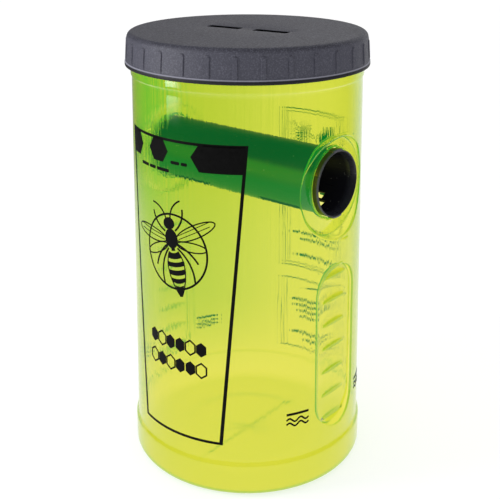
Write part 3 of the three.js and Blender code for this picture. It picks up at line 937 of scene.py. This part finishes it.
def build_lid(material):
    """A turned profile with ribs outside and a thread inside, closed by flat faces with two slots."""
    bm = bmesh.new()
    layer = bm.verts.layers.float.new("slot")
    rings = []
    azimuths = lid_azimuths()
    for r, z, shape in lid_rows():
        ring = []
        for a in azimuths:
            wide = r
            if shape == "rib":
                wide += rib_height(a, z)
            elif shape == "thread":
                wide -= lid_thread_height(a, z)
            ring.append(around_axis(wide, a, z))
        rings.append(ring)
    made = add_rings(bm, rings)
    top_loops = [made[0]]
    under_loops = [made[-1]]
    levels = [(0.35, LID_TOP), (0.1, LID_TOP - 0.1), (0.0, LID_TOP - 0.35), (0.0, LID_TOP - LID_WALL)]
    for side in (1, -1):
        walls = add_rings(bm, [[(x, y, z) for x, y in slot_outline(side, grow)] for grow, z in levels])
        # The slot walls below the top edge are marked for painted shade.
        mark(walls[1:], layer, 1.0)
        top_loops.append(walls[0])
        under_loops.append(walls[-1])
    fill_flat(bm, top_loops, (0, 0, 1))
    fill_flat(bm, under_loops, (0, 0, -1))
    finish_mesh(bm, "lid_cap", material, "lid_body", 50, "screw_lid")


# ---------- seal ring ----------

SEAL_WIDTH = 5.0
SEAL_EDGE = 0.25


def build_seal(material):
    """A flat ring with small round edges."""
    low, high = seal_box[0].z + SEAL_EDGE, seal_box[1].z - SEAL_EDGE
    outer = seal_box[1].x - SEAL_EDGE
    inner = seal_box[1].x - SEAL_WIDTH + SEAL_EDGE
    profile = []
    for r, z, start in ((outer, low, -90), (outer, high, 0), (inner, high, 90), (inner, low, 180)):
        profile += arc(r, z, SEAL_EDGE, start, start + 90, 3)
    bm = bmesh.new()
    rings = [[around_axis(r, a, z) for a in full_turn(120)] for r, z in profile]
    add_rings(bm, rings, closed_loop=True)
    finish_mesh(bm, "seal_ring", material, "seal_body", replaces="lid_seal_ring")


# ---------- tunnel tube ----------

TUBE_WALL = 1.4
MOUTH_BORE = 13.9
MOUTH_FLARE = 2.5
DROP_START = 15.0
DROP_MIDDLE_END = 39.4
DROP_SIDE_END = 36.8
DROP_BAR_ANGLE = 30.5
DROP_BAR_HALF = 2.0
DROP_HALF_ANGLE = 46.0
KEY_LENGTH = 3.0
KEY_EDGES = (-12.6, -11.8, -11.0, 11.0, 11.8, 12.6)
LIP_ROUND = 0.28


def tube_angles():
    """Angles round the tube in degrees, from straight down, with lines at the drop openings' edges."""
    edges = [DROP_BAR_ANGLE - DROP_BAR_HALF, DROP_BAR_ANGLE + DROP_BAR_HALF, DROP_HALF_ANGLE]
    lines = spread(-edges[0], edges[0], 3.1) + [edges[0], edges[1], -edges[0], -edges[1]]
    lines += spread(edges[1], edges[2], 3.6) + [-a for a in spread(edges[1], edges[2], 3.6)]
    lines += spread(edges[2], 360 - edges[2], 3.0) + [-edges[2]]
    lines += [middle + edge for middle in (180, 0) for edge in KEY_EDGES]
    rounded = sorted({round(a % 360, 3) for a in lines})
    kept = [rounded[0]]
    for a in rounded[1:]:
        if a - kept[-1] > 0.3:
            kept.append(a)
    return kept


def is_drop_opening(x, angle):
    """Whether a place on the tube is open: three openings side by side near each mouth."""
    from_down = abs(math.remainder(angle, 360))
    if from_down < DROP_BAR_ANGLE - DROP_BAR_HALF:
        return DROP_START < abs(x) < DROP_MIDDLE_END
    if DROP_BAR_ANGLE + DROP_BAR_HALF < from_down < DROP_HALF_ANGLE:
        return DROP_START < abs(x) < DROP_SIDE_END
    return False


def tube_outside(x, angle):
    """Outer radius of the tube, with a key lug above and below each mouth."""
    sideways = abs(math.sin(math.radians(angle))) * TUBE_RADIUS
    along = ramp(TUBE_END - abs(x), KEY_LENGTH + 0.15, KEY_LENGTH - 0.15)
    return TUBE_RADIUS + KEY_PROUD * ramp(sideways, 3.15, 2.85) * along


def tube_inside(x):
    """Radius of the bore, which flares out to a thin lip at each end."""
    bore = TUBE_RADIUS - TUBE_WALL
    return bore + (MOUTH_BORE - bore) * max(0.0, 1 - (TUBE_END - abs(x)) / MOUTH_FLARE)


def tube_stations():
    """Places along the tube, close together at the mouths."""
    half = spread(0, DROP_START, 3.0) + spread(DROP_START, DROP_SIDE_END, 2.72)
    half += [DROP_SIDE_END, DROP_MIDDLE_END, 43.0, TUBE_END - KEY_LENGTH - 0.2, TUBE_END - KEY_LENGTH + 0.2]
    half += [TUBE_END - from_end for from_end in (2.6, 2.35, 1.6, 1.0, 0.28, 0.15, 0.06, 0.0)]
    return sorted({-x for x in half} | set(half))


def tube_point(x, angle, radius):
    """A place on the tube, for an angle in degrees from straight down."""
    radians = math.radians(angle)
    return (x, radius * math.sin(radians), TUNNEL_Z - radius * math.cos(radians))


def tube_skin(bm, stations, angles, inner):
    """Vertices of one skin of the tube, as a row round it for each station."""
    grid = []
    for x in stations:
        from_end = TUBE_END - abs(x)
        short = LIP_ROUND - min(LIP_ROUND, from_end)
        rounding = LIP_ROUND - math.sqrt(max(0.0, LIP_ROUND * LIP_ROUND - short ** 2))
        row = []
        for angle in angles:
            radius = tube_inside(x) + rounding if inner else tube_outside(x, angle) - rounding
            row.append(bm.verts.new(Vector(tube_point(x, angle, radius)) / METRE))
        grid.append(row)
    return grid


def build_tube(material):
    """Outer and inner skins on one grid; the cells of the drop openings are left out and walled round."""
    angles = tube_angles()
    stations = tube_stations()
    bm = bmesh.new()
    outer, inner = (tube_skin(bm, stations, angles, is_inner) for is_inner in (False, True))
    for i in range(len(stations) - 1):
        for j in range(len(angles)):
            k = (j + 1) % len(angles)
            x = (stations[i] + stations[i + 1]) / 2
            step = (angles[k] - angles[j]) % 360
            if is_drop_opening(x, angles[j] + step / 2):
                continue
            for grid in (outer, inner):
                bm.faces.new((grid[i][j], grid[i][k], grid[i + 1][k], grid[i + 1][j]))
    index = {}
    for outer_row, inner_row in zip(outer, inner):
        index.update(zip(outer_row, inner_row))
    open_edges = [e for e in bm.edges if e.is_boundary and e.verts[0] in index and e.verts[1] in index]
    for edge in open_edges:
        a, b = edge.verts
        bm.faces.new((a, b, index[b], index[a]))
    loose = [v for v in bm.verts if not v.link_faces]
    bmesh.ops.delete(bm, geom=loose, context="VERTS")
    finish_mesh(bm, "tunnel", material, "tunnel_body", 35, "tunnel_tube")


# ---------- printed artwork ----------

INK_LIFT = 0.02
INK_THICKNESS = 0.05
WRAP_STEP = 2.0
BLOCK_GAP = 0.8
FRONT_AZIMUTH = 3.7
BACK_AZIMUTH = 178.1
LEVEL_MARK_AZIMUTHS = (64.6, 115.4, -64.6, -115.4)


def stroke(points, width, closed=False):
    """Outline of a line of even width along points, as one polygon per segment chain."""
    left, right = [], []
    count = len(points)
    for i, (x, y) in enumerate(points):
        before = points[(i - 1) % count] if closed or i else points[i]
        after = points[(i + 1) % count] if closed or i < count - 1 else points[i]
        dx, dy = after[0] - before[0], after[1] - before[1]
        length = math.hypot(dx, dy) or 1.0
        nx, ny = -dy / length * width / 2, dx / length * width / 2
        if closed or 0 < i < count - 1:
            ax, ay = x - before[0], y - before[1]
            along = math.hypot(ax, ay) or 1.0
            cosine = max(0.4, (nx * -ay + ny * ax) / along / (width / 2))
            nx, ny = nx / cosine, ny / cosine
        left.append((x + nx, y + ny))
        right.append((x - nx, y - ny))
    return [left, right] if closed else [left + right[::-1]]


def add_ink(bm, loops, azimuth, radius):
    """Adds one flat shape, given as closed loops in mm, wrapped on the jar as a thin film."""
    flat = bmesh.new()
    edges = []
    for loop in loops:
        verts = [flat.verts.new((x, y, 0.0)) for x, y in loop]
        for a, b in zip(verts, verts[1:] + verts[:1]):
            edges.append(flat.edges.new((a, b)))
    bmesh.ops.triangle_fill(flat, use_beauty=True, edges=edges, normal=(0, 0, 1))
    xs = [v.co.x for v in flat.verts]
    cut = (math.floor(min(xs) / WRAP_STEP) + 1) * WRAP_STEP
    while cut < max(xs) - 1e-4:
        geom = flat.verts[:] + flat.edges[:] + flat.faces[:]
        bmesh.ops.bisect_plane(flat, geom=geom, dist=1e-5, plane_co=(cut, 0, 0), plane_no=(1, 0, 0))
        cut += WRAP_STEP
    bmesh.ops.recalc_face_normals(flat, faces=flat.faces)
    if flat.faces and sum(f.normal.z for f in flat.faces) < 0:
        bmesh.ops.reverse_faces(flat, faces=flat.faces)
    film = {}
    for level, height in (("under", INK_LIFT), ("top", INK_LIFT + INK_THICKNESS)):
        for v in flat.verts:
            turn = math.radians(azimuth) + v.co.x / radius
            r = radius + height
            place = Vector((r * math.sin(turn), -r * math.cos(turn), v.co.y)) / METRE
            film[level, v] = bm.verts.new(place)
    for face in flat.faces:
        bm.faces.new([film["top", v] for v in face.verts])
        bm.faces.new([film["under", v] for v in reversed(face.verts)])
    for edge in flat.edges:
        if edge.is_boundary:
            a, b = edge.verts
            bm.faces.new((film["top", a], film["top", b], film["under", b], film["under", a]))
    flat.free()


def build_print(name, shapes, azimuth, material):
    """One printed panel: every shape is a list of closed loops around its own middle azimuth."""
    bm = bmesh.new()
    for loops in shapes:
        add_ink(bm, loops, azimuth, BODY_RADIUS)
    finish_mesh(bm, name, material, "jar_body", 30)


def frame_loops(half_top, half_bottom, low, high, side_line, end_line):
    """A four-sided frame that may be narrower at the bottom, as an outer and an inner loop."""
    outer = [(-half_bottom, low), (half_bottom, low), (half_top, high), (-half_top, high)]
    inner = [
        (-half_bottom + side_line, low + end_line),
        (half_bottom - side_line, low + end_line),
        (half_top - side_line, high - end_line),
        (-half_top + side_line, high - end_line),
    ]
    return [outer, inner]


def wasp_shapes(x, y, size, tilt):
    """A plain pictogram of a wasp from above, about a centre: size is half its length in mm."""

    def place(points):
        return turned_about([(x + u * size, y + v * size) for u, v in points], x, y, tilt)

    def line(points, width, closed=False):
        return [place(loop) for loop in stroke(points, width, closed)]

    shapes = [[place(oval(0, 0.62, 0.155, 0.13))]]
    shapes.append([place(oval(0, 0.30, 0.17, 0.21))])
    shapes.append([place(bar(-0.05, 0.04, 0.05, 0.12))])
    bands = [(0.03, -0.10, 0.12, 0.20), (-0.17, -0.27, 0.225, 0.235), (-0.34, -0.45, 0.235, 0.215)]
    bands += [(-0.52, -0.62, 0.195, 0.15)]
    dip = 0.035
    for top, bottom, wide_top, wide_bottom in bands:
        upper = curve_through((-wide_top, top), (0, top - dip * 2), (wide_top, top))
        lower = curve_through((wide_bottom, bottom), (0, bottom - dip * 2), (-wide_bottom, bottom))
        shapes.append([place(upper + lower)])
    shapes.append([place([(-0.115, -0.69), (0, -0.72), (0.115, -0.69), (0.02, -0.93), (-0.02, -0.93)])])
    left_edge = curve_through((-0.12, 0.03), (-0.36, -0.34), (-0.02, -0.93), 10)
    right_edge = curve_through((0.12, 0.03), (0.36, -0.34), (0.02, -0.93), 10)
    thin = 0.028
    shapes += [line(edge, thin) for edge in (left_edge, right_edge)]
    for side in (-1, 1):
        upper_wing = oval(side * 0.62, 0.42, 0.50, 0.135, side * 16, 26)
        lower_wing = oval(side * 0.47, 0.10, 0.35, 0.10, side * -14, 24)
        for wing in (upper_wing, lower_wing):
            shapes.append(line(wing, thin, closed=True))
        for vein in (0.05, -0.03):
            vein_ends = [(side * 0.2, 0.31 + vein), (side * 0.98, 0.54 + vein * 1.2)]
            shapes.append(line(vein_ends, thin * 0.6))
        antenna = curve_through((side * 0.06, 0.73), (side * 0.12, 1.0), (side * 0.40, 1.08))
        shapes.append(line(antenna, thin * 1.3))
        front_leg = curve_through((side * 0.14, 0.46), (side * 0.40, 0.62), (side * 0.42, 0.90))
        middle_leg = curve_through((side * 0.14, 0.18), (side * 0.44, 0.02), (side * 0.56, -0.26))
        hind_leg = curve_through((side * 0.12, 0.10), (side * 0.46, -0.22), (side * 0.40, -0.66))
        shapes += [line(leg, thin * 1.5) for leg in (front_leg, middle_leg, hind_leg)]
    return shapes


def honeycomb_row(x0, x1, middle, height, filled):
    """A band of upright hexagons between two ends; a filled one is solid, the others are outlines."""
    count = len(filled)
    across = (x1 - x0) / count
    shapes = []
    for i, solid in enumerate(filled):
        radius = height / 2
        squeeze = (across - 0.5) / (radius * math.sqrt(3))
        cell = [(x0 + across * (i + 0.5) + squeeze * y, middle + x) for x, y in circle(0.0, 0.0, radius, 6)]
        shapes.append([cell] if solid else stroke(cell, 0.75, closed=True))
    return shapes


def block_row(x0, x1, low, high, widths):
    """A row of plain rounded blocks between two ends, with the given relative widths."""
    usable = (x1 - x0) - BLOCK_GAP * (len(widths) - 1)
    total = sum(widths)
    shapes = []
    x = x0
    for width in widths:
        wide = usable * width / total
        shapes.append([rounded_bar(x, low, x + wide, high, 0.5)])
        x += wide + BLOCK_GAP
    return shapes


def front_shapes():
    """The front panel: a tapering frame, a header of plain cells and bars, and a wasp in a ring."""
    bottom, top = 23.2, 155.2
    head = top - 0.5
    shapes = [frame_loops(33.2, 22.2, bottom, top, 1.5, 1.2)]
    shapes.append([[(33.0, head), (32.0, 143.0), (12.5, 143.0), (8.6, 149.0), (12.5, head)]])
    cell = [(-15.0, 149.5), (-12.0, 144.6), (-6.0, 144.6), (-3.0, 149.5), (-6.0, head), (-12.0, head)]
    shapes.append([cell])
    shapes.append([[(-32.6, head), (-31.6, 144.0), (-24.0, 144.0), (-20.8, 149.5), (-24.0, head)]])
    shapes += block_row(-1.5, 7.0, 144.6, 146.0, (3, 2))
    shapes += block_row(-22.0, -2.5, 140.6, 142.0, (4, 3, 5))
    ring_x, ring_y = -0.4, 106.5
    shapes.append(stroke(circle(ring_x, ring_y, 16.3, 64), 0.9, closed=True))
    shapes += wasp_shapes(ring_x, ring_y - 0.5, 20.5, 12)
    for middle, filled in ((65.3, (1, 0, 1, 1, 0, 1)), (55.9, (0, 1, 0, 1, 1, 0))):
        shapes += honeycomb_row(-16.2, 15.4, middle, 6.6, filled)
    return shapes


def level_shapes():
    """A fill-level mark: a line over two waves."""
    wave = [(-5.3 + 10.6 * i / 24, math.sin(i / 24 * 4 * math.pi) * 0.8) for i in range(25)]
    shapes = [stroke([(-5.3, 36.1), (5.3, 36.1)], 1.1)]
    for height in (33.4, 31.4):
        shapes.append(stroke([(x, height + y) for x, y in wave], 0.8))
    return shapes


def back_shapes():
    """The back panels: two plain frames with small generic symbols and rows of bars."""
    half = 19.0
    shapes = [frame_loops(half, half, 65.0, 148.6, 0.5, 0.5), frame_loops(half, half, 20.4, 58.6, 0.5, 0.5)]
    shapes.append(frame_loops(half - 1.7, half - 1.7, 66.7, 146.9, 0.3, 0.3))
    shapes.append([oval(-7.6, 137.8, 2.3, 5.0, 30)])
    shapes.append([oval(-4.2, 135.5, 1.7, 4.0, 42)])
    shapes += wasp_shapes(9.0, 134.5, 7.5, 25)
    for i, height in enumerate((118.0, 108.0, 98.0)):
        shapes.append(stroke(circle(-11.0, height, 2.6, 24), 0.5, closed=True))
        shapes += block_row(-6.5, 13.0 - 2 * i, height + 0.6, height + 1.7, (4, 3, 5, 2))
        shapes += block_row(-6.5, 9.0 + i, height - 1.9, height - 0.8, (3, 5, 3))
    shapes += block_row(-14.5, 13.5, 83.0, 84.2, (4, 2, 5, 3, 4))
    shapes += block_row(-14.5, 8.0, 79.8, 81.0, (3, 5, 2, 4))
    shapes += block_row(-14.5, 11.0, 71.0, 72.4, (5, 3, 4))
    shapes.append(stroke([(-half + 0.8, 57.8), (5.5, 54.0)], 0.7))
    drop = curve_through((-10.5, 51.0), (-14.5, 44.0), (-10.5, 42.5))
    drop += curve_through((-10.5, 42.5), (-6.5, 44.0), (-10.5, 51.0))
    shapes.append([drop[:-1]])
    for i, height in enumerate((46.5, 43.5, 40.5, 37.5)):
        shapes += block_row(-2.0, 13.0 - 1.5 * i, height, height + 1.3, (3, 2, 4))
    shapes += block_row(-14.5, 13.0, 28.5, 29.8, (4, 5, 3, 4))
    shapes += block_row(-14.5, 6.0, 25.0, 26.3, (5, 3, 2))
    return shapes


def build_prints(material):
    build_print("front_print", front_shapes(), FRONT_AZIMUTH, material)
    build_print("back_print", back_shapes(), BACK_AZIMUTH, material)
    for index, azimuth in enumerate(LEVEL_MARK_AZIMUTHS):
        build_print(f"level_mark_{index + 1}", level_shapes(), azimuth, material)


# ---------- studio ----------

CAMERA_PITCH = 10.08
LENS = 68.77
HOME_SHIFT_X = 0.005
HOME_SHIFT_Y = -0.38
SOFTBOX_AZIMUTH = -29.1
SOFTBOX_DISTANCE = 338.0
SOFTBOX_HEIGHT = 234.0
SOFTBOX_WIDTH = 115.0
SOFTBOX_TALL = 300.0
SOFTBOX_POWER = 0.95


def shift_at_home(data, channel, camera, value):
    """Shifts the lens only while the camera stands at its own place, so that other views stay centred."""
    driver = data.driver_add(channel).driver
    driver.type = "SCRIPTED"
    for name, axis in (("x", "LOC_X"), ("y", "LOC_Y")):
        variable = driver.variables.new()
        variable.name = name
        variable.type = "TRANSFORMS"
        variable.targets[0].id = camera
        variable.targets[0].transform_type = axis
    home = camera.location
    driver.expression = f"{value} if abs(x - {home.x:.6f}) + abs(y - {home.y:.6f}) < 0.0001 else 0.0"


def build_camera():
    data = bpy.data.cameras.new("camera")
    camera = new_object("camera", data)
    data.sensor_width = 36.0
    data.lens = LENS
    data.clip_start = 0.01
    data.clip_end = 20.0
    camera.location = camera_place()
    camera.rotation_euler = (math.radians(90 - CAMERA_PITCH), 0.0, math.radians(CAMERA_AZIMUTH))
    shift_at_home(data, "shift_x", camera, HOME_SHIFT_X)
    shift_at_home(data, "shift_y", camera, HOME_SHIFT_Y)
    bpy.context.scene.camera = camera


def build_floor():
    bm = bmesh.new()
    bmesh.ops.create_circle(bm, cap_ends=True, radius=6.0, segments=96)
    mesh = bpy.data.meshes.new("floor")
    bm.to_mesh(mesh)
    bm.free()
    mesh.materials.append(floor_paint())
    floor = new_object("floor", mesh)
    floor.location.z = -0.0002


def fade_light(data):
    """Gives an area light one crisp side and lets it fade towards the other side and downwards."""
    data.use_nodes = True
    tree = data.node_tree
    emission = next(node for node in tree.nodes if node.type == "EMISSION")
    place = tree.nodes.new("ShaderNodeSeparateXYZ")
    tree.links.new(tree.nodes.new("ShaderNodeNewGeometry").outputs["Parametric"], place.inputs[0])
    fades = []
    for axis, full, gone in ((0, 0.45, 1.0), (1, 0.16, 0.0)):
        fade = tree.nodes.new("ShaderNodeMapRange")
        fade.interpolation_type = "SMOOTHSTEP"
        fade.inputs[1].default_value = full
        fade.inputs[2].default_value = gone
        fade.inputs[3].default_value = 1.0
        fade.inputs[4].default_value = 0.0
        tree.links.new(place.outputs[axis], fade.inputs[0])
        fades.append(fade.outputs[0])
    product = tree.nodes.new("ShaderNodeMath")
    product.operation = "MULTIPLY"
    for socket, fade in zip(product.inputs, fades):
        tree.links.new(fade, socket)
    tree.links.new(product.outputs[0], emission.inputs["Strength"])


def build_softbox():
    """A soft rectangular light that stands round the trap and faces it."""
    data = bpy.data.lights.new("softbox", "AREA")
    data.shape = "RECTANGLE"
    data.size = SOFTBOX_WIDTH / METRE
    data.size_y = SOFTBOX_TALL / METRE
    data.energy = SOFTBOX_POWER
    fade_light(data)
    light = new_object("softbox", data)
    place = direction(SOFTBOX_AZIMUTH) * SOFTBOX_DISTANCE
    place.z = SOFTBOX_HEIGHT
    light.location = place / METRE
    aim = Vector((0, 0, SOFTBOX_HEIGHT)) / METRE
    light.rotation_mode = "QUATERNION"
    light.rotation_quaternion = (aim - light.location).to_track_quat("-Z", "Y")
    light.visible_camera = False


def build_world():
    """White to the camera; reflections show a studio that is dark in front and on the left."""
    n = Nodes("studio", world=True)
    heading = n.add("TexCoord").outputs["Generated"]
    path, reflected, seen_through = studio_levels(n, heading, heading)
    level = level_mix(n, path.outputs["Is Reflection Ray"], 1.0, reflected)
    level = level_mix(n, path.outputs["Is Diffuse Ray"], level, STUDIO_FILL)
    colour = n.mix_colour(path.outputs["Is Transmission Ray"], level, seen_through)
    n.surface(n.add("Background", Color=colour, Strength=1.0).outputs[0])
    bpy.context.scene.world = n.owner


def build_studio():
    build_floor()
    build_world()
    build_softbox()
    build_camera()
    bpy.context.scene.view_settings.view_transform = "Standard"


# ---------- assembly ----------

ink = printing_ink()
build_jar(tinted_plastic())
build_lid(lid_plastic())
build_seal(seal_foam())
build_tube(tube_plastic())
build_prints(ink)
build_studio()
